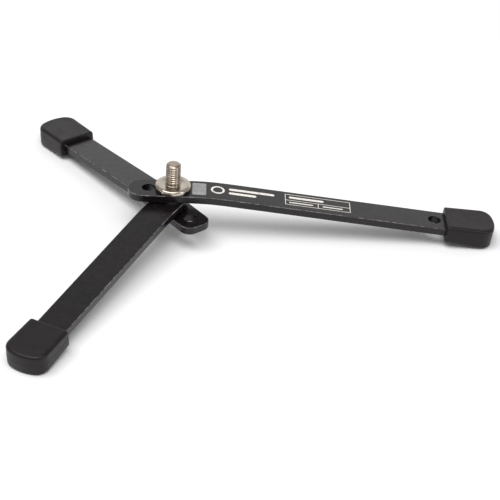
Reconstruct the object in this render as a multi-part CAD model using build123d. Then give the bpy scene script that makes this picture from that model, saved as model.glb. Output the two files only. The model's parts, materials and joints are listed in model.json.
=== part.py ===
"""Low folding table stand: three bent flat-bar legs swing about one threaded stud.

All sizes are millimetres.  The origin is where the stud leaves its round flange, so a
microphone mount seats on the plane z = 0.  +Z runs up the stud, +X runs out along the
top leg, and the floor lies at floor_z.
"""

from build123d import *
import os
from math import asin, atan2, cos, degrees, hypot, radians, tan

# ---------------------------------------------------------------- driving sizes
# Flat bar that all three legs are cut from.
bar_width = 20.0
bar_thickness = 5.0
bar_edge_radius = 0.5

# Air left between the floor and the lower end of the stud's shank.
stud_floor_clearance = 5.1

# Threaded stud (3/8 inch microphone thread, drawn at its major diameter).
stud_diameter = 9.525
stud_length = 14.4
stud_chamfer = 1.0
shank_diameter = 10.0
shank_end_chamfer = 0.8

# Round flange on top of the top leg.
flange_diameter = 22.8
flange_thickness = 3.6
flange_top_radius = 1.7
flange_under_radius = 1.2

# Washers between the legs, and the clamping pieces under the bottom leg.
spacer_diameter = 18.5
spacer_thickness = 1.2
under_washer_diameter = 21.0
under_washer_thickness = 1.6
spring_washer_diameter = 18.0
spring_washer_sheet = 0.7
spring_washer_rise = 0.5
washer_edge_radius = 0.3
nut_across_flats = 16.0
nut_height = 4.6
nut_chamfer = 0.6
shank_past_nut = 0.6

# Running clearance between the shank and everything threaded over it.
bore_clearance = 0.05

# Bend of each leg: how far out the bend is, and its radius at mid-thickness.
bend_reach = 23.0
bend_radius = 180.0

# Length of the sloping run of each leg, from its bend to the mouth of its foot cap.
top_run = 153.6
middle_run = 123.8
bottom_run = 87.5

# Inner ends of the legs.
top_tail = 28.7
bottom_tail = 29.6
bottom_tail_corner = 6.5

# Where each lower leg stands, turned about the stud from the top leg.
middle_leg_angle = -117.7
bottom_leg_angle = 127.25

# Plain holes drilled through the bar.
hole_diameter = 8.5
top_tail_hole_reach = 15.5
bottom_tail_hole_reach = 19.0
foot_hole_before_cap = 7.0

# Rubber foot cap, the same on every leg.
cap_length = 32.1
cap_mouth_width = 26.6
cap_mouth_height = 11.6
cap_end_width = 27.6
cap_end_height = 13.8
cap_end_bulge = 4.0
cap_corner_radius = 8.5
cap_edge_radius = 1.8
cap_mouth_radius = 0.5
cap_socket_depth = 22.0
cap_socket_clearance = 0.05
cap_floor_flat = 0.25

# Grey label on the top leg.
label_start = 12.4
label_length = 8.8
label_width = 14.0
label_thickness = 0.15
label_corner = 0.8

# ---------------------------------------------------------------- worked-out levels
leg_pitch = bar_thickness + spacer_thickness
top_level = -flange_thickness
middle_level = top_level - leg_pitch
bottom_level = middle_level - leg_pitch
bottom_face = bottom_level - bar_thickness
under_washer_bottom = bottom_face - under_washer_thickness
spring_washer_height = spring_washer_sheet + spring_washer_rise
nut_top = under_washer_bottom - spring_washer_height
nut_bottom = nut_top - nut_height
shank_end = nut_bottom - shank_past_nut
floor_z = shank_end - stud_floor_clearance
shank_bore = shank_diameter + 2 * bore_clearance


# ---------------------------------------------------------------- shared shapes
def disc(diameter, top, bottom):
    """Solid disc on the stud axis between two heights."""
    upright = (Align.CENTER, Align.CENTER, Align.MIN)
    return Pos(0, 0, bottom) * Cylinder(diameter / 2, top - bottom, align=upright)


def washer(diameter, top, bottom):
    """Flat washer with a softened rim, a running fit on the shank."""
    blank = fillet(disc(diameter, top, bottom).edges(), washer_edge_radius)
    return blank - disc(shank_bore, top + 1, bottom - 1)


def leg_slope(level, run):
    """Angle in degrees that puts the foot cap of a leg on the floor.

    level is the height of the leg's top face at the stud.  The lowest rounded edge of
    the cap reaches cap_floor_flat below the floor, and is then cut flat.
    """
    reach = run + cap_length - cap_edge_radius
    depth = cap_end_height / 2 - cap_edge_radius
    fall = level - bar_thickness / 2 - floor_z - cap_edge_radius + cap_floor_flat
    return degrees(asin(fall / hypot(reach, depth)) - atan2(depth, reach))


def slope_frame(level, slope):
    """Frame at the leg's bend, at mid-thickness, with X down along the sloping run."""
    return Location((bend_reach, 0, level - bar_thickness / 2), (0, slope, 0))


def bar_line(level, slope, tail, run, offset):
    """Side view line of a bent bar, offset up from the middle of its thickness."""
    middle = level - bar_thickness / 2
    corner_x = bend_reach + offset * tan(radians(slope) / 2)
    end = slope_frame(level, slope) * Pos(run, 0, offset)
    return FilletPolyline(
        (-tail, 0, middle + offset),
        (corner_x, 0, middle + offset),
        tuple(end.position),
        radius=bend_radius + offset,
    )


def bent_strip(level, slope, tail, run, low, high):
    """Bent strip as wide as the bar, between two offsets from its mid-thickness."""
    upper = bar_line(level, slope, tail, run, high)
    lower = bar_line(level, slope, tail, run, low)
    side = make_face(
        upper.edges()
        + lower.edges()
        + [Line(upper @ 0, lower @ 0), Line(upper @ 1, lower @ 1)]
    )
    return extrude(side, bar_width / 2, dir=(0, 1, 0), both=True)


def is_long_edge(edge, first_x, last_x):
    """True for an edge that runs round an outline between two distances out."""
    return abs((edge % 0.5).Z) < 0.9 and first_x < edge.center().X < last_x


def is_bend_seam(edge, inner_x):
    """True for the smooth line across a bar where a straight part meets its bend."""
    return abs((edge % 0.5).Y) > 0.99 and edge.center().X > inner_x


# ---------------------------------------------------------------- bent steel legs
def leg_blank(level, run, tail, plan):
    """Bent leg along +X before drilling, with its long edges and inner end softened.

    plan is the outline seen from above, which shapes the inner end.
    """
    slope = leg_slope(level, run)
    steel_run = run + cap_socket_depth - cap_socket_clearance
    half = bar_thickness / 2
    bar = bent_strip(level, slope, tail, steel_run, -half, half)
    bar &= Pos(0, 0, floor_z) * extrude(plan, -2 * floor_z)
    capped_x = (slope_frame(level, slope) * Pos(run, 0, 0)).position.X
    outline = bar.edges().filter_by(
        lambda edge: is_long_edge(edge, -tail - 1, capped_x)
        and not is_bend_seam(edge, bar_edge_radius - tail)
    )
    return fillet(outline, bar_edge_radius)


def drill(diameter, reach, level):
    """Drill through the flat part of a leg, centred a distance out from the stud."""
    return Pos(reach, 0, level - bar_thickness / 2) * Cylinder(diameter / 2, 2 * bar_thickness)


def foot_drill(level, run):
    """Drill square to the sloping run of a leg, just inside its foot cap."""
    place = slope_frame(level, leg_slope(level, run)) * Pos(run - foot_hole_before_cap, 0, 0)
    return place * Cylinder(hole_diameter / 2, 2 * bar_thickness)


def round_ended_plan(tail):
    """Plan outline with a full-round inner end, longer than any leg."""
    length = 2 * (tail + top_run + cap_length)
    return Pos(length / 2 - tail, 0) * SlotOverall(length, bar_width)


def cornered_plan(tail, corner):
    """Plan outline with a square inner end and rounded corners, longer than any leg."""
    length = 2 * (tail + top_run + cap_length)
    return Pos(length / 2 - tail, 0) * RectangleRounded(length, bar_width, corner)


def top_leg():
    """Longest leg, drilled in its short tail and again beside its foot cap."""
    bar = leg_blank(top_level, top_run, top_tail, round_ended_plan(top_tail))
    bar -= drill(shank_bore, 0, top_level)
    bar -= drill(hole_diameter, -top_tail_hole_reach, top_level)
    return bar - foot_drill(top_level, top_run)


def middle_leg():
    """Second leg, whose inner end only rounds the stud."""
    tail = bar_width / 2
    bar = leg_blank(middle_level, middle_run, tail, round_ended_plan(tail))
    return bar - drill(shank_bore, 0, middle_level)


def bottom_leg():
    """Shortest leg, with a squarer drilled tail that reaches out past the stud."""
    plan = cornered_plan(bottom_tail, bottom_tail_corner)
    bar = leg_blank(bottom_level, bottom_run, bottom_tail, plan)
    bar -= drill(shank_bore, 0, bottom_level)
    return bar - drill(hole_diameter, -bottom_tail_hole_reach, bottom_level)


# ---------------------------------------------------------------- rubber foot caps
def cap_plan():
    """Top view of a foot cap from its mouth at X = 0: straight sides, bulged end."""
    mouth = cap_mouth_width / 2
    end = cap_end_width / 2
    shoulder = cap_length - cap_end_bulge
    outline = make_face([
        Line((0, mouth), (0, -mouth)),
        Line((0, -mouth), (shoulder, -end)),
        ThreePointArc((shoulder, -end), (cap_length, 0), (shoulder, end)),
        Line((shoulder, end), (0, mouth)),
    ])
    corners = outline.vertices().filter_by(lambda corner: corner.X > cap_length / 2)
    return fillet(corners, cap_corner_radius)


def cap_side():
    """Side view of a foot cap, thicker at its outer end than at its mouth."""
    mouth = cap_mouth_height / 2
    end = cap_end_height / 2
    corners = [(0, 0, mouth), (cap_length, 0, end), (cap_length, 0, -end), (0, 0, -mouth)]
    return make_face(Polyline(*corners, close=True))


def foot_cap(level, run):
    """Hollow rubber cap pushed on the end of a leg, cut flat where it meets the floor."""
    body = extrude(cap_side(), cap_end_width, dir=(0, 1, 0), both=True)
    body &= Pos(0, 0, -cap_end_height) * extrude(cap_plan(), 2 * cap_end_height)
    long_edges = body.edges().filter_by(lambda edge: is_long_edge(edge, 0.1, cap_length + 1))
    body = fillet(long_edges, cap_edge_radius)
    body = fillet(body.faces().sort_by(Axis.X)[0].edges(), cap_mouth_radius)
    body -= Pos(cap_socket_depth / 2, 0, 0) * Box(
        cap_socket_depth,
        bar_width + 2 * cap_socket_clearance,
        bar_thickness + 2 * cap_socket_clearance,
    )
    cap = slope_frame(level, leg_slope(level, run)) * Pos(run, 0, 0) * body
    under_floor = disc(4 * (run + cap_length), floor_z, floor_z - cap_end_height)
    return cap - under_floor


# ---------------------------------------------------------------- stud and clamping pieces
def pivot_stud():
    """Turned stud: microphone thread above the flange, pivot shank below it."""
    upper = chamfer(disc(stud_diameter, stud_length, 0).edges().sort_by(Axis.Z)[-1], stud_chamfer)
    lower = disc(shank_diameter, 0, shank_end)
    return upper + chamfer(lower.edges().sort_by(Axis.Z)[0], shank_end_chamfer)


def stud_flange():
    """Round flange that the microphone mount seats on."""
    blank = disc(flange_diameter, 0, top_level)
    rims = blank.edges().filter_by(GeomType.CIRCLE).sort_by(Axis.Z)
    blank = fillet(rims[-1], flange_top_radius)
    rims = blank.edges().filter_by(GeomType.CIRCLE).sort_by(Axis.Z)
    blank = fillet(rims[0], flange_under_radius)
    return blank - disc(shank_bore, 1, top_level - 1)


def spring_washer():
    """Coned disc spring that keeps the stack of legs pressed together."""
    inner = shank_bore / 2
    outer = spring_washer_diameter / 2
    section = Polyline(
        (inner, 0, nut_top),
        (outer, 0, nut_top + spring_washer_rise),
        (outer, 0, nut_top + spring_washer_height),
        (inner, 0, nut_top + spring_washer_sheet),
        close=True,
    )
    return revolve(make_face(section), Axis.Z)


def lock_nut():
    """Thin hexagon nut with both outer rims chamfered, on the end of the shank."""
    hexagon = RegularPolygon(nut_across_flats / 2, 6, major_radius=False)
    blank = Pos(0, 0, nut_bottom) * extrude(hexagon, nut_height)
    across_corners = nut_across_flats / cos(radians(30))
    turned = chamfer(disc(across_corners, nut_top, nut_bottom).edges(), nut_chamfer)
    return (blank & turned) - disc(shank_bore, nut_top + 1, nut_bottom - 1)


def grey_label():
    """Thin blank label lying on the top leg beside the flange."""
    slope = leg_slope(top_level, top_run)
    face = bar_thickness / 2
    film = bent_strip(top_level, slope, top_tail, top_run, face, face + label_thickness)
    outline = RectangleRounded(label_length, label_width, label_corner)
    place = Pos(label_start + label_length / 2, 0, floor_z)
    return film & place * extrude(outline, -floor_z)


# ---------------------------------------------------------------- assembly
turn_middle = Rot(0, 0, middle_leg_angle)
turn_bottom = Rot(0, 0, bottom_leg_angle)
nodes = {
    "pivot_stud": pivot_stud(),
    "stud_flange": stud_flange(),
    "top_leg": top_leg(),
    "top_foot_cap": foot_cap(top_level, top_run),
    "grey_label": grey_label(),
    "upper_spacer": washer(spacer_diameter, top_level - bar_thickness, middle_level),
    "middle_leg": turn_middle * middle_leg(),
    "middle_foot_cap": turn_middle * foot_cap(middle_level, middle_run),
    "lower_spacer": washer(spacer_diameter, middle_level - bar_thickness, bottom_level),
    "bottom_leg": turn_bottom * bottom_leg(),
    "bottom_foot_cap": turn_bottom * foot_cap(bottom_level, bottom_run),
    "under_washer": washer(under_washer_diameter, bottom_face, under_washer_bottom),
    "spring_washer": spring_washer(),
    "lock_nut": lock_nut(),
}

os.makedirs("parts", exist_ok=True)
for name, shape in nodes.items():
    export_step(shape, f"parts/{name}.step")
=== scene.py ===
"""Looks of a low folding table stand: bent flat-bar legs, rubber feet and a threaded stud.

Everything is in metres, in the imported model's own frame: the origin is where the stud
leaves its round flange, +Z runs up the stud and +X runs out along the top leg.
"""

import json
import logging
import math
from dataclasses import dataclass
from enum import Enum
from typing import Iterable, Sequence

import bmesh
import bpy
from bpy.types import Material, Node, NodeSocket, Object
from mathutils import Matrix, Vector
from mathutils.bvhtree import BVHTree


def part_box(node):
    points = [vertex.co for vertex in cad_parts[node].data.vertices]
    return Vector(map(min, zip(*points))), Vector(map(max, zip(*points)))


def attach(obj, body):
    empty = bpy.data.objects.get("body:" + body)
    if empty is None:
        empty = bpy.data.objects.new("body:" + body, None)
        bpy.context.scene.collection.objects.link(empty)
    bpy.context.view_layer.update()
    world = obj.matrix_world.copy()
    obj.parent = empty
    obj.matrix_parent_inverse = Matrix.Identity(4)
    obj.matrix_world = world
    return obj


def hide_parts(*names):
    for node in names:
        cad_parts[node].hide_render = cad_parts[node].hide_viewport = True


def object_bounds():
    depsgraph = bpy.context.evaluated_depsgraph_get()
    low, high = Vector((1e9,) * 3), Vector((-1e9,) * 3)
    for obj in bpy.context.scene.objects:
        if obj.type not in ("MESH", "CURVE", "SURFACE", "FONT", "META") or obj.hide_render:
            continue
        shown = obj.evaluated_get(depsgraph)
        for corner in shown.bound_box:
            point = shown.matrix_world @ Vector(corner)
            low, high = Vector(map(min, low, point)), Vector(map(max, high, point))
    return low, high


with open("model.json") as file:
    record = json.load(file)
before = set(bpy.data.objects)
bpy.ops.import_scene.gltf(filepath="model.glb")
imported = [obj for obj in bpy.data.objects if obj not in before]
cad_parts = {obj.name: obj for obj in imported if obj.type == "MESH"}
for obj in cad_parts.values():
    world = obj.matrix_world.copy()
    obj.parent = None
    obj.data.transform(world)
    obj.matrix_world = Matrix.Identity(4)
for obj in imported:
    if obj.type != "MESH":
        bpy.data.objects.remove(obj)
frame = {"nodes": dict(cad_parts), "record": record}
CAD_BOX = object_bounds()

MM = 0.001
FLOOR_Z = CAD_BOX[0].z
WELD_DISTANCE = 0.0002 * MM
# A face whose middle is this near a leg's far end belongs to its end face.
END_FACE_DEPTH = 0.5 * MM
LOG = logging.getLogger("table_stand")

Pair = tuple[float, float]
Colour = tuple[float, float, float, float]
# Place along and across a foot cap's outline, and the direction in which an inset moves it.
Station = tuple[float, float, float, float]
# Inset of a level of a cap's wall, share of the straight wall's half height, rise over that.
Level = tuple[float, float, float]


class Body(Enum):
    """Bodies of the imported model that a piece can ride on."""

    HUB = "stud_and_top_leg"
    MIDDLE = "middle_leg"
    BOTTOM = "bottom_leg"


class Slot(Enum):
    """Material slots of the record that a piece can take its finish from."""

    POWDER_COAT = "black_powder_coat"
    RUBBER = "black_rubber"
    NICKEL = "nickel_plate"
    ZINC = "zinc_plate"
    LABEL = "label_film"


class ToolMarks(Enum):
    """Which way a lathe tool left its fine marks, as a wave texture's type."""

    FACED = "RINGS"
    TURNED = "BANDS"


# ---- shader helpers
# The wave texture turns through this many radians for each unit, at a scale of one.
WAVE_RADIANS = 20
FULL_RANGE = (0.0, 1.0)
# The middle part of a noise pattern, which holds nearly all of its values.
TONE_RANGE = (0.35, 0.65)
ROUGHNESS_RANGE = (0.3, 0.7)
EDGE_SAMPLES = 6
# Cosine between the rounded normal and the true one, on a flat face and on an edge.
EDGE_COSINES = (0.995, 0.86)
# Upward part of the normal where the round of a bar's upper edge meets its side and its top.
SIDE_TO_ROUND = (0.12, 0.45)
TOP_TO_ROUND = (0.96, 0.85)


def linear(code: str) -> Colour:
    """Turns an sRGB hex colour into linear RGBA.

    Args:
        code: Colour such as "#2B2A29".

    Returns:
        Linear red, green, blue and an alpha of one.
    """
    channels = [int(code[i:i + 2], 16) / 255 for i in (1, 3, 5)]
    curve = [c / 12.92 if c <= 0.04045 else ((c + 0.055) / 1.055) ** 2.4 for c in channels]
    return (curve[0], curve[1], curve[2], 1.0)


def wave_scale(spacing_mm: float) -> float:
    """Returns the wave texture scale that repeats every spacing_mm millimetres."""
    return math.tau / WAVE_RADIANS / spacing_mm


# ---- finishes
class Paint:
    """Node tree of one material, with the patterns that the finishes are made of."""

    def __init__(self, material: Material) -> None:
        """Starts from the material's own Principled shader.

        Args:
            material: The material.
        """
        material.use_nodes = True
        self.tree = material.node_tree
        self.shader = self.tree.nodes["Principled BSDF"]
        place = self.add("ShaderNodeTexCoord", {}, {})
        inputs = {"Vector": place.outputs["Object"], "Scale": (1 / MM,) * 3}
        # Place on the piece, in millimetres.
        self.position = self.add("ShaderNodeMapping", {}, inputs).outputs["Vector"]

    def put(self, node: Node, name: str | int, value: object) -> None:
        """Links an input of a node to an output socket, or gives it a value.

        Args:
            node: The node.
            name: Name or number of the input.
            value: The socket or the value.
        """
        if isinstance(value, NodeSocket):
            self.tree.links.new(value, node.inputs[name])
        else:
            node.inputs[name].default_value = value

    def feed(self, name: str, value: object) -> None:
        """Sets an input of the Principled shader."""
        self.put(self.shader, name, value)

    def add(self, kind: str, settings: dict[str, object], inputs: dict[str | int, object]) -> Node:
        """Adds one shader node with its settings, values and links.

        Args:
            kind: Node type, such as "ShaderNodeTexNoise".
            settings: Attributes of the node, by name.
            inputs: A value or an output socket for each input, by name or number.

        Returns:
            The new node.
        """
        node = self.tree.nodes.new(kind)
        for name, value in settings.items():
            setattr(node, name, value)
        for name, value in inputs.items():
            self.put(node, name, value)
        return node

    def noise(self, width_mm: float, detail: float = 2.0) -> NodeSocket:
        """Returns a noise from zero to one, with blotches about width_mm wide."""
        inputs = {"Vector": self.position, "Scale": 1 / width_mm, "Detail": detail}
        return self.add("ShaderNodeTexNoise", {}, inputs).outputs[0]

    def spread(self, value: NodeSocket, source: Pair, target: Pair) -> NodeSocket:
        """Maps one range of values smoothly on another.

        Args:
            value: The value to map.
            source: Range that the value comes in.
            target: Range that it leaves with.

        Returns:
            The mapped value.
        """
        limits = zip(("From Min", "From Max", "To Min", "To Max"), source + target)
        inputs = {"Value": value, **dict(limits)}
        node = self.add("ShaderNodeMapRange", {"interpolation_type": "SMOOTHSTEP"}, inputs)
        return node.outputs["Result"]

    def blend(self, amount: NodeSocket, first: object, second: object) -> NodeSocket:
        """Mixes two colours, given as values or sockets: an amount of zero gives the first."""
        # Inputs 6 and 7 and output 2 are the colour sockets of a Mix node.
        inputs = {0: amount, 6: first, 7: second}
        return self.add("ShaderNodeMix", {"data_type": "RGBA"}, inputs).outputs[2]

    def product(self, first: NodeSocket, second: NodeSocket) -> NodeSocket:
        """Returns the product of two masks."""
        return self.add("ShaderNodeMath", {"operation": "MULTIPLY"}, {0: first, 1: second}).outputs[0]

    def relief(
        self, height: NodeSocket, depth_mm: float, under: NodeSocket | None = None
    ) -> NodeSocket:
        """Raises the surface by a pattern.

        Args:
            height: Pattern from zero to one.
            depth_mm: Height of the pattern where it is one.
            under: Relief that this one lies on, if any.

        Returns:
            The bumped normal.
        """
        inputs = {"Height": height, "Distance": depth_mm * MM, "Strength": 1.0}
        if under is not None:
            inputs["Normal"] = under
        return self.add("ShaderNodeBump", {}, inputs).outputs["Normal"]

    def worn_edges(self, reach_mm: float) -> NodeSocket:
        """Finds outside edges, where a rounded normal leaves the true one.

        Args:
            reach_mm: How far in from an edge the mask reaches.

        Returns:
            A mask that is one on an edge and zero on a flat face.
        """
        settings = {"samples": EDGE_SAMPLES}
        rounded = self.add("ShaderNodeBevel", settings, {"Radius": reach_mm * MM})
        true = self.add("ShaderNodeNewGeometry", {}, {})
        inputs = {0: rounded.outputs["Normal"], 1: true.outputs["Normal"]}
        facing = self.add("ShaderNodeVectorMath", {"operation": "DOT_PRODUCT"}, inputs)
        return self.spread(facing.outputs["Value"], EDGE_COSINES, FULL_RANGE)

    def upper_round(self) -> NodeSocket:
        """Finds the rounded upper edges of a bar, between its level face and its sides.

        Returns:
            A mask that is one half-way round the edge and zero on either face.
        """
        surface = self.add("ShaderNodeNewGeometry", {}, {})
        parts = self.add("ShaderNodeSeparateXYZ", {}, {0: surface.outputs["Normal"]})
        off_side = self.spread(parts.outputs["Z"], SIDE_TO_ROUND, FULL_RANGE)
        off_top = self.spread(parts.outputs["Z"], TOP_TO_ROUND, FULL_RANGE)
        return self.product(off_side, off_top)


@dataclass(frozen=True)
class Finish:
    """A surface finish with its own procedural material."""

    name: str
    light: str
    dark: str
    roughness: float
    roughness_spread: float

    def material(self) -> Material:
        """Returns the finish's material, made the first time that it is asked for."""
        found = bpy.data.materials.get(self.name)
        if found:
            return found
        made = bpy.data.materials.new(self.name)
        self.dress(Paint(made))
        return made

    def dress(self, paint: Paint) -> None:
        """Builds the finish's nodes."""
        raise NotImplementedError

    def shade(self, paint: Paint, pattern: NodeSocket, source: Pair = TONE_RANGE) -> NodeSocket:
        """Mixes the finish's dark and light colours, between two values of a pattern."""
        tone = paint.spread(pattern, source, FULL_RANGE)
        return paint.blend(tone, linear(self.dark), linear(self.light))

    def roughen(self, paint: Paint, pattern: NodeSocket) -> None:
        """Varies the roughness by a pattern."""
        limits = (self.roughness - self.roughness_spread, self.roughness + self.roughness_spread)
        paint.feed("Roughness", paint.spread(pattern, ROUGHNESS_RANGE, limits))


@dataclass(frozen=True)
class PowderCoat(Finish):
    """Semi-matt black polyester powder coat, sprayed dry and baked on steel bar."""

    # Grey of the flecks, and of the painted highlight on the upper edges.
    edge_highlight_and_flecks: str = "#8A8482"
    ior: float = 1.45
    # The melted powder levels into soft lumps about this wide.
    peel_mm: float = 1.6
    peel_depth_mm: float = 0.012
    # Single grains of 0.05 mm are too fine to show, so they are drawn eight times as wide.
    grain_mm: float = 0.4
    grain_depth_mm: float = 0.005
    fleck_strength: float = 0.05
    shade_mm: float = 26.0
    scuff_mm: float = 3.5
    # The painted highlight on the upper edges has at least this strength, and full strength where a
    # scuff patch crosses them.
    least_highlight: float = 0.22

    def dress(self, paint: Paint) -> None:
        """Soft orange peel under a fine grain, with a painted highlight of thin grey along the upper
        edges.
        """
        shades = paint.noise(self.shade_mm, detail=3.0)
        peel = paint.noise(self.peel_mm)
        grain = paint.noise(self.grain_mm, detail=1.0)
        scuffs = paint.noise(self.scuff_mm, detail=5.0)
        coat = self.shade(paint, shades)
        flecks = paint.spread(grain, (0.62, 0.74), (0.0, self.fleck_strength))
        flecked = paint.blend(flecks, coat, linear(self.edge_highlight_and_flecks))
        # Painted highlight: the rounded upper edges are lightened with a thin grey, in patches,
        # standing in for the light that they catch.
        edges = paint.upper_round()
        patches = paint.spread(scuffs, (0.4, 0.66), (self.least_highlight, 1.0))
        edge_amount = paint.product(edges, patches)
        edge_highlight_and_flecks = paint.blend(edge_amount, flecked, linear(self.edge_highlight_and_flecks))
        paint.feed("Base Color", edge_highlight_and_flecks)
        self.roughen(paint, scuffs)
        lumps = paint.relief(peel, self.peel_depth_mm)
        paint.feed("Normal", paint.relief(grain, self.grain_depth_mm, lumps))
        paint.feed("IOR", self.ior)


@dataclass(frozen=True)
class MouldedRubber(Finish):
    """Carbon-filled rubber, compression moulded in a blasted steel mould."""

    dust: str = "#4C4646"
    dust_strength: float = 0.16
    ior: float = 1.38
    # Blasted moulds leave pits of about 0.15 mm; three times as wide is the finest that shows.
    pit_mm: float = 0.45
    pit_depth_mm: float = 0.014
    flow_mm: float = 7.0
    flow_depth_mm: float = 0.05
    edge_mm: float = 0.8

    def dress(self, paint: Paint) -> None:
        """Dull pitted black, cloudy with bloom, with dust held in the pits and on the edges."""
        flow = paint.noise(self.flow_mm, detail=4.0)
        pits = paint.noise(self.pit_mm, detail=2.0)
        cloudy = self.shade(paint, flow)
        strength = (0.0, self.dust_strength)
        held = paint.spread(pits, (0.58, 0.75), strength)
        dusty = paint.blend(held, cloudy, linear(self.dust))
        edge_amount = paint.spread(paint.worn_edges(self.edge_mm), FULL_RANGE, strength)
        paint.feed("Base Color", paint.blend(edge_amount, dusty, linear(self.dust)))
        self.roughen(paint, flow)
        waves = paint.relief(flow, self.flow_depth_mm)
        paint.feed("Normal", paint.relief(pits, self.pit_depth_mm, waves))
        paint.feed("IOR", self.ior)


@dataclass(frozen=True)
class PlatedMetal(Finish):
    """Electroplated steel that was turned on a lathe before it was plated."""

    marks: ToolMarks = ToolMarks.TURNED
    # A lathe feed of 0.1 mm is too fine to show, so the marks are drawn four times as wide.
    feed_mm: float = 0.4
    mark_depth_mm: float = 0.004
    mark_waver: float = 0.6
    cloud_mm: float = 4.0

    def dress(self, paint: Paint) -> None:
        """Warm mirror broken by fine lathe marks, with duller clouds where it is handled."""
        clouds = paint.noise(self.cloud_mm, detail=4.0)
        settings = {
            "wave_type": self.marks.value,
            "bands_direction": "Z",
            "rings_direction": "Z",
            "wave_profile": "SIN",
        }
        inputs = {
            "Vector": paint.position,
            "Scale": wave_scale(self.feed_mm),
            "Distortion": self.mark_waver,
            "Detail": 2.0,
        }
        feed = paint.add("ShaderNodeTexWave", settings, inputs).outputs["Fac"]
        paint.feed("Base Color", self.shade(paint, clouds))
        self.roughen(paint, clouds)
        paint.feed("Normal", paint.relief(feed, self.mark_depth_mm))
        paint.feed("Metallic", 1.0)


@dataclass(frozen=True)
class LabelFilm(Finish):
    """Matt polyester label film with a faintly cloudy printed face."""

    cloud_mm: float = 2.6
    tooth_mm: float = 0.35
    tooth_depth_mm: float = 0.006

    def dress(self, paint: Paint) -> None:
        """Mid grey with soft paler clouds and a paper-like tooth."""
        clouds = paint.noise(self.cloud_mm, detail=3.0)
        tooth = paint.noise(self.tooth_mm, detail=1.0)
        paint.feed("Base Color", self.shade(paint, clouds))
        self.roughen(paint, tooth)
        paint.feed("Normal", paint.relief(tooth, self.tooth_depth_mm))


@dataclass(frozen=True)
class ScreenInk(Finish):
    """Opaque epoxy ink, screen printed through a woven mesh and baked."""

    # The screen's threads are 0.1 mm apart; 0.3 mm is the finest weave that shows.
    weave_mm: float = 0.3
    weave_depth_mm: float = 0.004
    weave_waver: float = 1.0
    thin_mm: float = 1.1

    def dress(self, paint: Paint) -> None:
        """Chalky white that thins in places, with a faint weave from the screen."""
        thin = paint.noise(self.thin_mm, detail=4.0)
        settings = {"wave_type": "BANDS", "bands_direction": "DIAGONAL"}
        inputs = {
            "Vector": paint.position,
            "Scale": wave_scale(self.weave_mm),
            "Distortion": self.weave_waver,
        }
        weave = paint.add("ShaderNodeTexWave", settings, inputs).outputs["Fac"]
        paint.feed("Base Color", self.shade(paint, thin, (0.28, 0.5)))
        self.roughen(paint, thin)
        paint.feed("Normal", paint.relief(weave, self.weave_depth_mm))


@dataclass(frozen=True)
class MattPaint(Finish):
    """Flat white emulsion on the board that the stand is set on."""

    roll_mm: float = 180.0

    def dress(self, paint: Paint) -> None:
        """Even white with the faint unevenness of a rolled coat."""
        rolled = paint.noise(self.roll_mm)
        painted = paint.blend(rolled, linear(self.dark), linear(self.light))
        paint.feed("Base Color", painted)
        paint.feed("Roughness", self.roughness)
        paint.feed("Specular IOR Level", 0.0)


BLACK_COAT = PowderCoat("semi_matt_black_powder_coat", "#110B0E", "#0C080A", 0.28, 0.04)
BLACK_RUBBER = MouldedRubber("moulded_black_rubber", "#160D10", "#100A0C", 0.4, 0.05)
BRIGHT_NICKEL_DISC = PlatedMetal(
    "bright_nickel_faced", "#C5BBAF", "#AEA498", 0.19, 0.05, marks=ToolMarks.FACED
)
BRIGHT_NICKEL_SHAFT = PlatedMetal("bright_nickel_turned", "#AFA395", "#968B7F", 0.19, 0.05)
CLEAR_ZINC = PlatedMetal(
    "clear_zinc_plate", "#C4C8CC", "#AAAEB3", 0.36, 0.08, marks=ToolMarks.FACED, mark_depth_mm=0.006
)
GREY_FILM = LabelFilm("matt_grey_label_film", "#9A9A9A", "#888888", 0.5, 0.06)
WHITE_INK = ScreenInk("white_screen_ink", "#EFEBE4", "#BDB8B0", 0.55, 0.06)
WHITE_BOARD = MattPaint("matt_white_board", "#FAFAFA", "#F7F7F7", 0.9, 0.0)


# ---- mesh helpers
def round_point(radius: float, turn: float, height: float) -> Vector:
    """Returns the point at a radius, an angle in radians and a height on the stud axis."""
    return Vector((radius * math.cos(turn), radius * math.sin(turn), height))


def smooth_step(value: float) -> float:
    """Returns value held between zero and one and eased at both ends."""
    held = min(max(value, 0.0), 1.0)
    return held * held * (3 - 2 * held)


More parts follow.
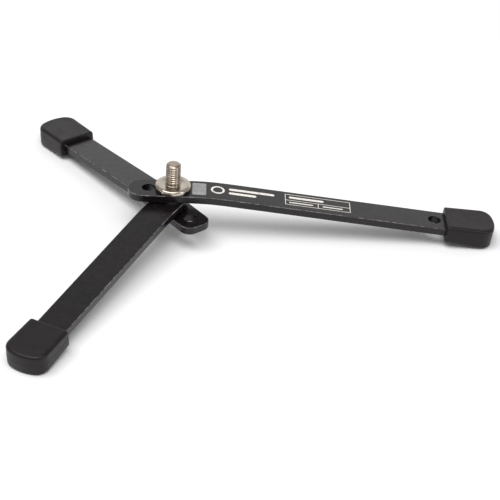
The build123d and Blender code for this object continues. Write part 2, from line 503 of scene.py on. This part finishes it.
class MeshDraft:
    """A mesh in the making, skinned between rows of points and then welded."""

    def __init__(self) -> None:
        """Starts with an empty mesh."""
        self.mesh = bmesh.new()

    def skin(self, rows: Sequence[Sequence[Vector]], closed: bool = False) -> None:
        """Lays four-sided faces between neighbouring rows of points.

        Args:
            rows: Rows with the same number of points each.
            closed: Whether the last point of a row meets the first.
        """
        made = [[self.mesh.verts.new(point) for point in row] for row in rows]
        count = len(rows[0])
        for lower, upper in zip(made, made[1:]):
            for here in range(count if closed else count - 1):
                after = (here + 1) % count
                self.mesh.faces.new((lower[here], lower[after], upper[after], upper[here]))

    def lathe(self, profile: Sequence[Pair], columns: int) -> None:
        """Turns a profile about the stud axis.

        Args:
            profile: Radius and height of each point.
            columns: How many faces go round.
        """
        turns = [math.tau * column / columns for column in range(columns)]
        rows = [[round_point(radius, turn, height) for turn in turns] for radius, height in profile]
        self.skin(rows, closed=True)

    def build(self, name: str, finish: Finish, crease_degrees: float = 32.0) -> Object:
        """Welds the mesh and links it as a smooth-shaded piece.

        Args:
            name: Name of the piece.
            finish: What its surface is made of.
            crease_degrees: Edges that turn more than this stay sharp.

        Returns:
            The new piece.
        """
        bmesh.ops.remove_doubles(self.mesh, verts=self.mesh.verts, dist=WELD_DISTANCE)
        bmesh.ops.dissolve_degenerate(self.mesh, dist=WELD_DISTANCE, edges=self.mesh.edges)
        bmesh.ops.recalc_face_normals(self.mesh, faces=self.mesh.faces)
        data = bpy.data.meshes.new(name)
        self.mesh.to_mesh(data)
        self.mesh.free()
        data.shade_smooth()
        data.set_sharp_from_angle(angle=math.radians(crease_degrees))
        data.materials.append(finish.material())
        piece = bpy.data.objects.new(name, data)
        bpy.context.scene.collection.objects.link(piece)
        return piece


def disc(radius: float, height: float) -> list[Pair]:
    """Lists the profile of a flat disc, from its rim to its middle."""
    return [(radius * share, height) for share in (1.0, 0.75, 0.5, 0.25, 0.0)]


def arc(
    centre: Pair, radius: float, first_degrees: float, last_degrees: float, steps: int
) -> list[Pair]:
    """Lists points along a circular arc.

    Args:
        centre: Centre of the arc.
        radius: Its radius.
        first_degrees: Where it starts.
        last_degrees: Where it ends.
        steps: How many equal parts it has.

    Returns:
        The steps + 1 points.
    """
    points = []
    for step in range(steps + 1):
        turn = math.radians(first_degrees + (last_degrees - first_degrees) * step / steps)
        points.append((centre[0] + radius * math.cos(turn), centre[1] + radius * math.sin(turn)))
    return points


def dress_node(node: str, finish: Finish) -> None:
    """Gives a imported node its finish.

    Args:
        node: Name of the node.
        finish: What its surface is made of.
    """
    piece = frame["nodes"][node]
    piece.data.materials.clear()
    piece.data.materials.append(finish.material())
    LOG.info("%s: %s", node, finish.name)


def place_piece(piece: Object, body: Body, slot: Slot, *nodes: str) -> None:
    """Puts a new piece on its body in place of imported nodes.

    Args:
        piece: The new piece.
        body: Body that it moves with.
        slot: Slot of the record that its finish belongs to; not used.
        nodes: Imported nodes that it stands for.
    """
    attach(piece, body.value)
    if nodes:
        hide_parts(*nodes)
    LOG.info("%s: %d faces on %s", piece.name, len(piece.data.polygons), body.value)


# ---- threaded stud
@dataclass
class Thread:
    """A right-hand thread cut round the stud axis."""

    crest_radius: float
    depth: float
    pitch: float
    low: float
    high: float
    columns: int
    # Height over which the cut fades out at its upper end; zero cuts it full to the end.
    run_out: float = 0.0
    steps: int = 16
    # Shares of the pitch, counted from the middle of the crest, between which a flank lies.
    flank_start: float = 1 / 32
    flank_end: float = 15 / 32
    # The columns reach past both ends, so that each of them covers the full height.
    turns_below: int = 2
    turns_above: int = 1

    def cut_depth(self, phase: float, height: float) -> float:
        """Gives the depth of the thread below its crest.

        Args:
            phase: Place within one pitch, where zero is the middle of the crest.
            height: Height on the stud axis.

        Returns:
            The depth, which fades out towards a plain upper end.
        """
        from_crest = abs((phase + 0.5) % 1.0 - 0.5)
        # Plating rounds the crest, and the root is rolled, so both ends of a flank are eased.
        flank = smooth_step((from_crest - self.flank_start) / (self.flank_end - self.flank_start))
        if not self.run_out:
            return self.depth * flank
        return self.depth * flank * smooth_step((self.high - height) / self.run_out)

    def rows(self, limit: "TurnedLimit") -> list[list[Vector]]:
        """Lists the columns of points up the thread, each a little higher than the last.

        Args:
            limit: Turned blank that the thread is cut into.

        Returns:
            One list of points for each column.
        """
        turns = math.ceil((self.high - self.low) / self.pitch) + self.turns_below + self.turns_above
        columns = []
        for column in range(self.columns + 1):
            share = column / self.columns
            line = []
            for step in range(turns * self.steps + 1):
                phase = step / self.steps
                free = self.low + self.pitch * (phase + share - self.turns_below)
                height = min(max(free, self.low), self.high)
                radius = min(self.crest_radius - self.cut_depth(phase, height), limit.radius(height))
                line.append(round_point(radius, math.tau * share, height))
            columns.append(line)
        return columns


@dataclass
class TurnedLimit:
    """Largest radius of a turned blank, by height."""

    points: list[Pair]

    def radius(self, height: float) -> float:
        """Returns the blank's radius at a height, straight between its points."""
        for (r0, z0), (r1, z1) in zip(self.points, self.points[1:]):
            if z0 <= height <= z1:
                return r0 + (r1 - r0) * (height - z0) / (z1 - z0)
        return self.points[0][0] if height < self.points[0][1] else self.points[-1][0]


@dataclass
class PivotStud:
    """Stud with a microphone thread above its flange and a clamping thread at its foot."""

    # Sixteen threads to the inch. They are cut about half as deep as the standard's, so that
    # they show as faint rings.
    pitch: float = 25.4 / 16 * MM
    depth: float = 0.5 * MM
    # The first turn rises to full size over this share of the pitch.
    lead_in_share: float = 0.7
    tip_chamfer: float = 1.0 * MM
    # The tip's chamfer is this much lower than it is wide.
    tip_rise_share: float = 0.8
    neck_height: float = 0.9 * MM
    neck_fillet: float = 0.4 * MM
    fillet_steps: int = 5
    shank_edge: float = 0.3 * MM
    foot_pitch: float = 1.0 * MM
    foot_depth: float = 0.5 * MM
    foot_thread: float = 7.0 * MM
    foot_run_out: float = 1.5 * MM
    foot_chamfer: float = 0.8 * MM
    columns: int = 96

    def build(self) -> None:
        """Builds the stud and puts it in place of the plain one."""
        low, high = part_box("pivot_stud")
        shank = high.x
        stud = next(m for m in frame["record"]["mounts"] if m["name"] == "stud")
        crest = stud["dims"]["r_mm"] * MM
        neck = crest - self.depth
        tip, start = crest - self.tip_chamfer, self.neck_height
        end, foot_top = shank - self.foot_chamfer, low.z + self.foot_thread
        draft = MeshDraft()
        blank = TurnedLimit([
            (neck, start),
            (crest, start + self.pitch * self.lead_in_share),
            (crest, high.z - self.tip_chamfer * self.tip_rise_share),
            (tip, high.z),
        ])
        thread = Thread(crest, self.depth, self.pitch, start, high.z, self.columns)
        draft.skin(thread.rows(blank))
        draft.lathe(disc(tip, high.z), self.columns)
        blank = TurnedLimit([(end, low.z), (shank, low.z + self.foot_chamfer), (shank, foot_top)])
        thread = Thread(
            shank, self.foot_depth, self.foot_pitch, low.z, foot_top, self.columns, self.foot_run_out
        )
        draft.skin(thread.rows(blank))
        draft.lathe(disc(end, low.z)[::-1], self.columns)
        shoulder = (shank - self.shank_edge, 0.0)
        draft.lathe([(shank, foot_top), (shank, -self.shank_edge), shoulder], self.columns)
        corner = self.neck_fillet
        fillet = arc((neck + corner, corner), corner, 270, 180, self.fillet_steps)
        draft.lathe([shoulder] + fillet + [(neck, start)], self.columns)
        piece = draft.build("threaded_stud", BRIGHT_NICKEL_SHAFT, crease_degrees=50)
        place_piece(piece, Body.HUB, Slot.NICKEL, "pivot_stud")


@dataclass
class StudFlange:
    """Polished round flange, faced flat on top with both rims rolled over."""

    top_round: float = 1.5 * MM
    under_round: float = 1.1 * MM
    relief_radius: float = 5.9 * MM
    relief_depth: float = 0.12 * MM
    relief_slope: float = 0.15 * MM
    relief_lip_width: float = 0.1 * MM
    relief_lip_drop: float = 0.02 * MM
    bore_clearance: float = 0.05 * MM
    top_steps: int = 12
    under_steps: int = 10
    columns: int = 128

    def build(self) -> None:
        """Builds the flange and puts it in place of the plain one."""
        low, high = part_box("stud_flange")
        rim = high.x
        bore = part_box("pivot_stud")[1].x + self.bore_clearance
        relief = high.z - self.relief_depth
        top, under = self.top_round, self.under_round
        profile = [
            (bore, low.z),
            (bore, relief),
            (self.relief_radius - self.relief_slope, relief),
            (self.relief_radius, high.z - self.relief_lip_drop),
            (self.relief_radius + self.relief_lip_width, high.z),
        ]
        profile += arc((rim - top, high.z - top), top, 90, 0, self.top_steps)
        profile += arc((rim - under, low.z + under), under, 0, -90, self.under_steps)
        profile.append((bore, low.z))
        draft = MeshDraft()
        draft.lathe(profile, self.columns)
        piece = draft.build("polished_flange", BRIGHT_NICKEL_DISC)
        place_piece(piece, Body.HUB, Slot.NICKEL, "stud_flange")


@dataclass
class ClampStack:
    """Washers and lock nut that press the three legs together."""

    nodes: tuple[str, ...] = (
        "upper_spacer", "lower_spacer", "under_washer", "spring_washer", "lock_nut",
    )

    def build(self) -> None:
        """Gives each clamping piece its zinc plating."""
        for node in self.nodes:
            dress_node(node, CLEAR_ZINC)


# ---- legs and rubber feet
class LegEnd:
    """Local frame of a leg's outer end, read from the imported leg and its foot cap.

    along runs down the leg, across runs over its width and up stands off its face.
    mouth is the point on the leg's middle line where the foot cap's mouth is.
    """

    def __init__(self, leg: str, cap: str) -> None:
        """Reads the frame from the end face of a leg.

        Args:
            leg: Name of the leg's node.
            cap: Name of the foot cap's node.
        """
        low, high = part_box(cap)
        outward = (low + high) / 2
        outward.z = 0
        outward.normalize()
        mesh = frame["nodes"][leg].data
        far = max(face.center.dot(outward) for face in mesh.polygons)
        ends = [face for face in mesh.polygons if face.center.dot(outward) > far - END_FACE_DEPTH]
        end = max(ends, key=lambda face: face.area)
        self.along = end.normal.copy()
        self.across = Vector((0, 0, 1)).cross(self.along).normalized()
        self.up = self.along.cross(self.across)
        corners = [mesh.vertices[i].co for face in ends for i in face.vertices]
        middle = Vector((0.0, 0.0, 0.0))
        for axis in (self.across, self.up):
            reach = [corner.dot(axis) for corner in corners]
            middle += axis * (min(reach) + max(reach)) / 2
        reach = [vertex.co.dot(self.along) for vertex in frame["nodes"][cap].data.vertices]
        self.mouth = middle + self.along * min(reach)
        self.cap_length = max(reach) - min(reach)

    def point(self, along: float, across: float, up: float) -> Vector:
        """Returns a point of the local frame, held at or above the floor."""
        place = self.mouth + self.along * along + self.across * across + self.up * up
        place.z = max(place.z, FLOOR_Z)
        return place


@dataclass
class FootCap:
    """Rubber cap pushed on a leg's end: flared, with a bulged end and a moulding line."""

    leg: str
    node: str
    name: str
    body: Body
    mouth_width: float = 26.6 * MM
    mouth_height: float = 11.6 * MM
    end_width: float = 27.6 * MM
    end_height: float = 13.8 * MM
    end_bulge: float = 4.0 * MM
    corner_radius: float = 8.5 * MM
    edge_radius: float = 2.0 * MM
    lip_radius: float = 0.7 * MM
    draft_inset: float = 0.12 * MM
    flash_width: float = 0.3 * MM
    # The moulding line is this many times as wide at its base as at its crest.
    flash_taper: float = 3.0
    # Share of the moulds' draft that the wall has already gained beside the moulding line.
    flash_base_share: float = 0.8
    sink: float = 0.1 * MM
    socket_width: float = 20.1 * MM
    socket_height: float = 5.1 * MM
    socket_depth: float = 22.0 * MM
    side_steps: int = 14
    corner_steps: int = 14
    bulge_steps: int = 8
    lip_steps: int = 4
    edge_steps: int = 6
    across_steps: int = 16

    def __post_init__(self) -> None:
        """Reads the end of the leg that the cap is pushed on."""
        self.end = LegEnd(self.leg, self.node)
        self.length = self.end.cap_length

    def build(self) -> None:
        """Builds the cap and puts it in place of the plain one."""
        stations = self.stations()
        levels = self.levels()
        draft = MeshDraft()
        for side in (1, -1):
            wall = [[self.wall_point(s, level, side) for s in stations] for level in levels]
            draft.skin(wall)
        for level in (levels[0], levels[-1]):
            draft.skin([self.row_across(station, level) for station in stations])
        draft.skin(self.socket_loops(stations[0], levels), closed=True)
        piece = draft.build(self.name, BLACK_RUBBER, crease_degrees=40)
        place_piece(piece, self.body, Slot.RUBBER, self.node)

    def stations(self) -> list[Station]:
        """Lists the outline from the mouth's corner to the middle of the bulged end.

        Returns:
            The stations, with their places at no inset.
        """
        half_mouth, half_end = self.mouth_width / 2, self.end_width / 2
        bulge = (half_end ** 2 + self.end_bulge ** 2) / (2 * self.end_bulge)
        hub = self.length - bulge
        tilt = math.atan2(half_end - half_mouth, self.length - self.end_bulge)
        line = Vector((math.cos(tilt), math.sin(tilt)))
        normal = Vector((-line.y, line.x))
        start = Vector((0, half_mouth)) - normal * self.corner_radius
        offset = start - Vector((hub, 0))
        along = offset.dot(line)
        short = bulge - self.corner_radius
        run = -along + math.sqrt(along ** 2 - offset.length_squared + short ** 2)
        corner = start + line * run
        turn = math.atan2(corner.y, corner.x - hub)
        found = []
        for step in range(self.side_steps):
            place = Vector((0, half_mouth)) + line * run * step / self.side_steps
            found.append((place.x, place.y, -normal.x, -normal.y))
        first = math.pi / 2 + tilt
        for step in range(self.corner_steps + 1):
            angle = first + (turn - first) * step / self.corner_steps
            ray = Vector((math.cos(angle), math.sin(angle)))
            place = corner + ray * self.corner_radius
            found.append((place.x, place.y, -ray.x, -ray.y))
        for step in range(1, self.bulge_steps + 1):
            angle = turn * (1 - step / self.bulge_steps)
            ray = Vector((math.cos(angle), math.sin(angle)))
            found.append((hub + ray.x * bulge, ray.y * bulge, -ray.x, -ray.y))
        lips = [(share, *found[0][1:]) for share in self.lip_places()]
        return lips + found[1:]

    def lip_places(self) -> list[float]:
        """Lists how far in the stations of the rounded mouth are, from the mouth itself."""
        turns = [math.pi / 2 * (1 - step / self.lip_steps) for step in range(self.lip_steps + 1)]
        return [self.lip_radius * (1 - math.sin(turn)) for turn in turns]

    def lip_inset(self, along: float) -> float:
        """Returns how far the rounded lip pulls the surface in at a place along the cap."""
        if along >= self.lip_radius:
            return 0.0
        gone = self.lip_radius - along
        return self.lip_radius - math.sqrt(max(self.lip_radius ** 2 - gone ** 2, 0.0))

    def half_height(self, along: float) -> float:
        """Returns half the cap's height at a place along it."""
        share = min(max(along / self.length, 0.0), 1.0)
        return (self.mouth_height + (self.end_height - self.mouth_height) * share) / 2

    def levels(self) -> list[Level]:
        """Lists the wall's levels from the under face to the top face.

        Returns:
            The levels, which round the upper and lower edges and raise the moulding line.
        """
        edge = []
        for step in range(self.edge_steps + 1):
            turn = math.pi / 2 * step / self.edge_steps
            inset = self.draft_inset + self.edge_radius * (1 - math.cos(turn))
            edge.append((inset, 1.0, self.edge_radius * math.sin(turn)))
        under = [(inset, -share, -rise) for inset, share, rise in reversed(edge)]
        base = self.draft_inset * self.flash_base_share
        half = self.flash_width / 2
        crest = half / self.flash_taper
        flash = [(base, 0.0, -half), (0.0, 0.0, -crest), (0.0, 0.0, crest), (base, 0.0, half)]
        return under + flash + edge

    def wall_point(self, station: Station, level: Level, side: int) -> Vector:
        """Gives a point of the cap's wall.

        Args:
            station: Place on the outline.
            level: Place up the wall.
            side: One for the left wall, minus one for the right.

        Returns:
            The point in the model's frame.
        """
        along, across, in_along, in_across = station
        inset, share, rise = level
        lip = self.lip_inset(along)
        straight = self.half_height(along) - self.edge_radius
        if along > self.lip_radius:
            along += in_along * inset
        across += in_across * (inset + lip)
        up = straight * share + rise
        if share:
            up -= math.copysign(lip, share)
        return self.end.point(along, side * max(across, 0.0), up)

    def row_across(self, station: Station, level: Level) -> list[Vector]:
        """Lists points over the cap's top or under face, from its left edge to its right.

        Args:
            station: Place on the outline.
            level: The face's level.

        Returns:
            The points in the model's frame.
        """
        left = self.wall_point(station, level, 1)
        right = self.wall_point(station, level, -1)
        width = (left - right).length
        sink = self.sink * min(width / self.mouth_width, 1.0) * math.copysign(1, level[1])
        row = []
        for step in range(self.across_steps + 1):
            share = step / self.across_steps
            bowl = sink * smooth_step(4 * share * (1 - share))
            place = left.lerp(right, share) - self.end.up * bowl
            place.z = max(place.z, FLOOR_Z)
            row.append(place)
        return row

    def socket_loops(self, station: Station, levels: list[Level]) -> list[list[Vector]]:
        """Lists the loops that close the mouth and line the socket.

        Args:
            station: The mouth's station.
            levels: Levels of the wall.

        Returns:
            Loops from the cap's mouth to the bottom of its socket.
        """
        mouth = [self.wall_point(station, level, 1) for level in levels]
        mouth += self.row_across(station, levels[-1])[1:-1]
        mouth += [self.wall_point(station, level, -1) for level in reversed(levels)]
        mouth += list(reversed(self.row_across(station, levels[0])))[1:-1]
        half_width, half_height = self.socket_width / 2, self.socket_height / 2
        loops = [mouth]
        for depth in (0.0, self.socket_depth):
            loop = []
            for point in mouth:
                offset = point - self.end.mouth
                across = min(max(offset.dot(self.end.across), -half_width), half_width)
                up = min(max(offset.dot(self.end.up), -half_height), half_height)
                loop.append(self.end.point(depth, across, up))
            loops.append(loop)
        loops.append([self.end.point(self.socket_depth, 0.0, 0.0)] * len(mouth))
        return loops


@dataclass
class FlatBarLeg:
    """Bent flat-bar leg with its rubber foot."""

    cap: FootCap

    def build(self) -> None:
        """Coats the leg and builds its foot."""
        dress_node(self.cap.leg, BLACK_COAT)
        self.cap.build()


# ---- printed face of the top leg
class PrintedFace:
    """Film of ink that follows the bent top face of a leg."""

    FILM = 0.04 * MM
    SUNK = 0.03 * MM
    CELL = 1.0 * MM
    ROUND_STEPS = 6
    RING_STEPS = 64

    def __init__(self, leg: str, name: str) -> None:
        """Starts an empty print.

        Args:
            leg: Node whose top face is printed.
            name: Name of the printed piece.
        """
        self.name = name
        self.draft = MeshDraft()
        self.face = BVHTree.FromObject(frame["nodes"][leg], bpy.context.evaluated_depsgraph_get())

    def on_face(self, x: float, y: float) -> Vector:
        """Returns the point of the leg's top face above a place in plan."""
        above = Vector((x, y, CAD_BOX[1].z))
        return self.face.ray_cast(above, Vector((0, 0, -1)))[0]

    def patch(self, rows: Sequence[Sequence[Pair]], closed: bool = False) -> None:
        """Lays one closed film of ink over a patch of the face.

        Args:
            rows: Rows of places in plan.
            closed: Whether each row closes on itself.
        """
        lift = Vector((0, 0, self.FILM))
        drop = Vector((0, 0, self.SUNK))
        ground = [[self.on_face(x, y) for x, y in row] for row in rows]
        upper = [[point + lift for point in row] for row in ground]
        lower = [[point - drop for point in row] for row in ground]
        self.draft.skin(upper, closed)
        self.draft.skin(lower, closed)
        for end in (0, -1):
            self.draft.skin([upper[end], lower[end]], closed)
            if not closed:
                edge = [[row[end] for row in upper], [row[end] for row in lower]]
                self.draft.skin(edge)

    def bar(self, x0: float, x1: float, y0: float, y1: float) -> None:
        """Prints a plain bar.

        Args:
            x0: Where it starts along the leg.
            x1: Where it ends along the leg.
            y0: Its near edge.
            y1: Its far edge.
        """
        cells = max(math.ceil((x1 - x0) / self.CELL), 1)
        columns = [x0 + (x1 - x0) * cell / cells for cell in range(cells + 1)]
        self.patch([[(x, y) for x in columns] for y in (y0, y1)])

    def pill(self, x0: float, x1: float, y: float, width: float) -> None:
        """Prints a bar with round ends.

        Args:
            x0: Where it starts along the leg.
            x1: Where it ends along the leg.
            y: Its middle line.
            width: Its width.
        """
        radius = width / 2
        turns = [math.pi / 2 * step / self.ROUND_STEPS for step in range(self.ROUND_STEPS + 1)]
        reaches = [radius * (1 - math.cos(turn)) for turn in turns]
        cells = max(math.ceil((x1 - x0 - width) / self.CELL), 1)
        places = [x0 + reach for reach in reaches]
        places += [x0 + radius + (x1 - x0 - width) * cell / cells for cell in range(1, cells)]
        places += [x1 - reach for reach in reversed(reaches)]
        rows: list[list[Pair]] = [[], []]
        for x in places:
            past = max(x0 + radius - x, x - x1 + radius, 0.0)
            half = math.sqrt(max(radius ** 2 - past ** 2, 0.0))
            rows[0].append((x, y - half))
            rows[1].append((x, y + half))
        self.patch(rows)

    def ring(self, x: float, y: float, outer: float, inner: float) -> None:
        """Prints a ring.

        Args:
            x: Its centre along the leg.
            y: Its centre across the leg.
            outer: Its outer radius.
            inner: Its inner radius.
        """
        turns = [math.tau * step / self.RING_STEPS for step in range(self.RING_STEPS)]
        rows = [[(x + r * math.cos(t), y + r * math.sin(t)) for t in turns] for r in (outer, inner)]
        self.patch(rows, closed=True)

    def build(self, finish: Finish, slot: Slot, body: Body) -> None:
        """Finishes the print and puts it on its leg.

        Args:
            finish: The ink.
            slot: Slot of the record that the ink belongs to.
            body: Body that the leg is on.
        """
        place_piece(self.draft.build(self.name, finish), body, slot)


@dataclass
class TopLegPrint:
    """Plain marks printed beside the label: a ring with bars, and an empty rating frame."""

    ring_x: float = 28.6 * MM
    ring_radius: float = 4.4 * MM
    ring_line: float = 1.3 * MM
    mark_y: float = 0.9 * MM
    bar_start: float = 35.6 * MM
    bar_end: float = 65.0 * MM
    bar_width: float = 2.4 * MM
    # Each bar lies this share of its width off the mark's middle line.
    bar_offset_share: float = 0.95
    # The near bar ends at this share of the far one's end.
    short_bar_share: float = 0.82
    frame_start: float = 71.8 * MM
    frame_end: float = 114.0 * MM
    frame_near: float = -5.4 * MM
    frame_far: float = 6.9 * MM
    line: float = 0.42 * MM
    divider_share: float = 0.42
    split_share: float = 0.5
    title_width: float = 2.2 * MM
    title_past_split: float = 4.0 * MM
    entry_width: float = 1.1 * MM
    entry_start: float = 2.5 * MM
    entry_gap: float = 3.0 * MM
    entry_end: float = 5.0 * MM

    def build(self) -> None:
        """Prints both marks."""
        self.print_mark()
        self.print_frame()
        dress_node("grey_label", GREY_FILM)

    def print_mark(self) -> None:
        """Prints the ring and the two bars beside it."""
        mark = PrintedFace("top_leg", "printed_ring_and_bars")
        mark.ring(self.ring_x, self.mark_y, self.ring_radius, self.ring_radius - self.ring_line)
        offset = self.bar_width * self.bar_offset_share
        short_end = self.bar_end * self.short_bar_share
        mark.pill(self.bar_start, self.bar_end, self.mark_y + offset, self.bar_width)
        mark.pill(self.bar_start, short_end, self.mark_y - offset, self.bar_width)
        mark.build(WHITE_INK, Slot.LABEL, Body.HUB)

    def print_frame(self) -> None:
        """Prints the framed table with its dividers and blank entries."""
        table = PrintedFace("top_leg", "printed_rating_frame")
        near, far = self.frame_near, self.frame_far
        start, end, line = self.frame_start, self.frame_end, self.line
        divider = near + (far - near) * self.divider_share
        split = start + (end - start) * self.split_share
        table.bar(start, end, near, near + line)
        table.bar(start, end, far - line, far)
        table.bar(start, start + line, near + line, far - line)
        table.bar(end - line, end, near + line, far - line)
        table.bar(start + line, end - line, divider, divider + line)
        table.bar(split, split + line, near + line, divider)
        first, title, entry = start + self.entry_start, self.title_width, self.entry_width
        row = (near + divider) / 2 + line / 2
        table.pill(first, split + self.title_past_split, (divider + far) / 2, title)
        table.pill(first, split - self.entry_gap, row, entry)
        table.pill(split + self.entry_gap, end - self.entry_end, row, entry)
        table.build(WHITE_INK, Slot.LABEL, Body.HUB)


# ---- studio
@dataclass(frozen=True)
class SoftBox:
    """Rectangular area light that faces a point."""

    name: str
    place: tuple[float, float, float]
    aim: tuple[float, float, float]
    width: float
    height: float
    brightness: float

    def build(self) -> None:
        """Hangs the light."""
        lamp = bpy.data.lights.new(self.name, "AREA")
        lamp.shape = "RECTANGLE"
        lamp.size = self.width
        lamp.size_y = self.height
        lamp.energy = math.pi * self.width * self.height * self.brightness
        holder = bpy.data.objects.new(self.name, lamp)
        bpy.context.scene.collection.objects.link(holder)
        holder.visible_camera = False
        holder.location = self.place
        facing = Vector(self.aim) - Vector(self.place)
        holder.rotation_euler = facing.to_track_quat("-Z", "Y").to_euler()


SOFT_BOXES = (
    # Large main light over the near left.
    SoftBox("overhead_softbox", (-0.35, -0.5, 1.75), (0.05, 0.0, 0.0), 2.2, 1.1, 4.0),
    # Wide, low fill behind the stand.
    SoftBox("back_softbox", (0.2, 1.7, 0.7), (0.05, 0.0, 0.05), 3.2, 0.8, 0.72),
    # Narrow strip light on the right.
    SoftBox("right_strip_softbox", (1.3, -0.75, 0.75), (0.0, 0.0, 0.0), 0.3, 0.9, 4.0),
)


@dataclass
class Studio:
    """White board, soft lights and camera."""

    board_size: float = 6.0
    board_steps: int = 8
    sky_strength: float = 0.45
    turn_degrees: float = 2.45
    pitch_degrees: float = 33.53
    roll_degrees: float = 3.26
    place: tuple[float, float, float] = (0.00917, -0.98282, 0.60305)
    lens_mm: float = 130.55
    sensor_mm: float = 36.0
    nearest: float = 0.01

    def build(self) -> None:
        """Builds the board, the sky, the lights and the camera."""
        self.lay_board()
        self.light_sky()
        for box in SOFT_BOXES:
            box.build()
        self.set_camera()
        bpy.context.scene.view_settings.view_transform = "Standard"

    def lay_board(self) -> None:
        """Lays the white board that the stand is set on."""
        half = self.board_size / 2
        draft = MeshDraft()
        steps = self.board_steps
        places = [half * (2 * step / steps - 1) for step in range(steps + 1)]
        draft.skin([[Vector((x, y, FLOOR_Z)) for x in places] for y in places])
        draft.build("white_board", WHITE_BOARD)

    def light_sky(self) -> None:
        """Gives the room an even pale light."""
        world = bpy.data.worlds.new("pale_room")
        bpy.context.scene.world = world
        world.use_nodes = True
        background = world.node_tree.nodes["Background"]
        background.inputs["Color"].default_value = linear("#FFFFFF")
        background.inputs["Strength"].default_value = self.sky_strength

    def set_camera(self) -> None:
        """Sets the camera at its place and turns it down, round and over."""
        camera = bpy.data.cameras.new("camera")
        camera.lens = self.lens_mm
        camera.sensor_width = self.sensor_mm
        camera.clip_start = self.nearest
        holder = bpy.data.objects.new("camera", camera)
        bpy.context.scene.collection.objects.link(holder)
        turn = Matrix.Rotation(math.radians(-self.turn_degrees), 4, "Z")
        tip = Matrix.Rotation(math.radians(90 - self.pitch_degrees), 4, "X")
        roll = Matrix.Rotation(math.radians(self.roll_degrees), 4, "Z")
        holder.matrix_world = Matrix.Translation(self.place) @ turn @ tip @ roll
        bpy.context.scene.camera = holder


def main() -> None:
    """Builds the stand from its sub-assemblies, in the order that it is put together."""
    logging.basicConfig(level=logging.INFO, format="%(name)s: %(message)s")
    Studio().build()
    caps = (
        FootCap("top_leg", "top_foot_cap", "top_rubber_foot", Body.HUB),
        FootCap("middle_leg", "middle_foot_cap", "middle_rubber_foot", Body.MIDDLE),
        FootCap("bottom_leg", "bottom_foot_cap", "bottom_rubber_foot", Body.BOTTOM),
    )
    for cap in caps:
        FlatBarLeg(cap).build()
    ClampStack().build()
    PivotStud().build()
    StudFlange().build()
    TopLegPrint().build()


if __name__ == "__main__":
    main()
